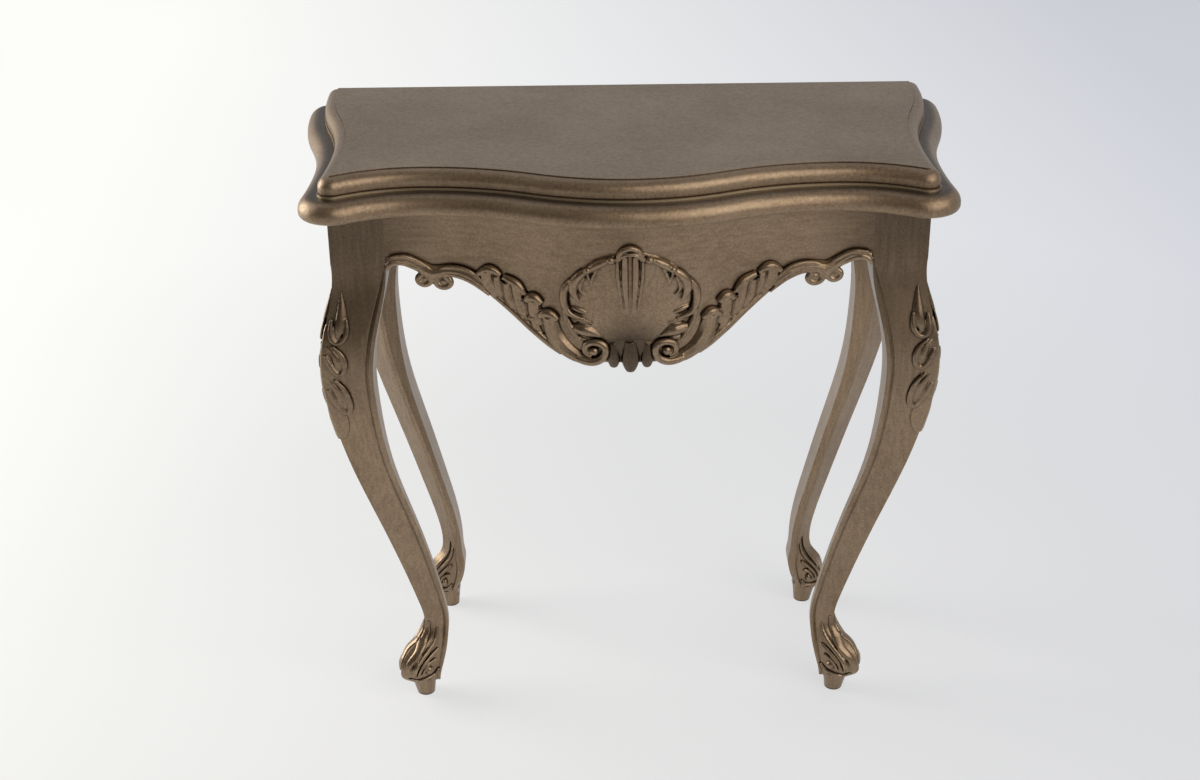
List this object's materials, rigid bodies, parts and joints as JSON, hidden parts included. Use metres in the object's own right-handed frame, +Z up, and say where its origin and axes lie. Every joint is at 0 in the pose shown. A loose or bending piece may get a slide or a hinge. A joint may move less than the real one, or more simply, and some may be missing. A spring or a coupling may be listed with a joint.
{
  "type": "pier table",
  "caption": "Small serpentine pier table with a stepped moulded top, a shell-carved shaped apron and cabriole legs on scroll feet.",
  "frame": {"origin": "on the floor, under the middle of the table's outer box", "axes": "+Z up, +X along the table's length to the right seen from the front, -Y towards the viewer in front of the shaped apron"},
  "size_m": [0.836, 0.3999, 0.792],
  "materials": {
    "bronze_paint": "satin bronze metallic paint over wood, rubbed with a dark glaze",
    "bare_wood": "bare planed softwood",
    "screw_steel": "zinc plated"
  },
  "bodies": {
    "root": {"top_board": "bronze_paint", "under_board": "bronze_paint", "front_apron": "bronze_paint", "back_rail": "bronze_paint", "left_side_apron": "bronze_paint", "right_side_apron": "bronze_paint", "front_left_leg": "bronze_paint", "front_right_leg": "bronze_paint", "back_left_leg": "bronze_paint", "back_right_leg": "bronze_paint", "front_left_knee_leaf": "bronze_paint", "front_right_knee_leaf": "bronze_paint", "back_left_knee_leaf": "bronze_paint", "back_right_knee_leaf": "bronze_paint", "left_scroll_bead": "bronze_paint", "right_scroll_bead": "bronze_paint", "left_leaf_scroll": "bronze_paint", "right_leaf_scroll": "bronze_paint", "apron_shell": "bronze_paint", "left_side_block": "bare_wood", "right_side_block": "bare_wood", "back_left_block": "bare_wood", "back_right_block": "bare_wood", "front_left_block": "bare_wood", "front_right_block": "bare_wood", "board_screws": "screw_steel", "block_screws": "screw_steel"}
  },
  "joints": []
}
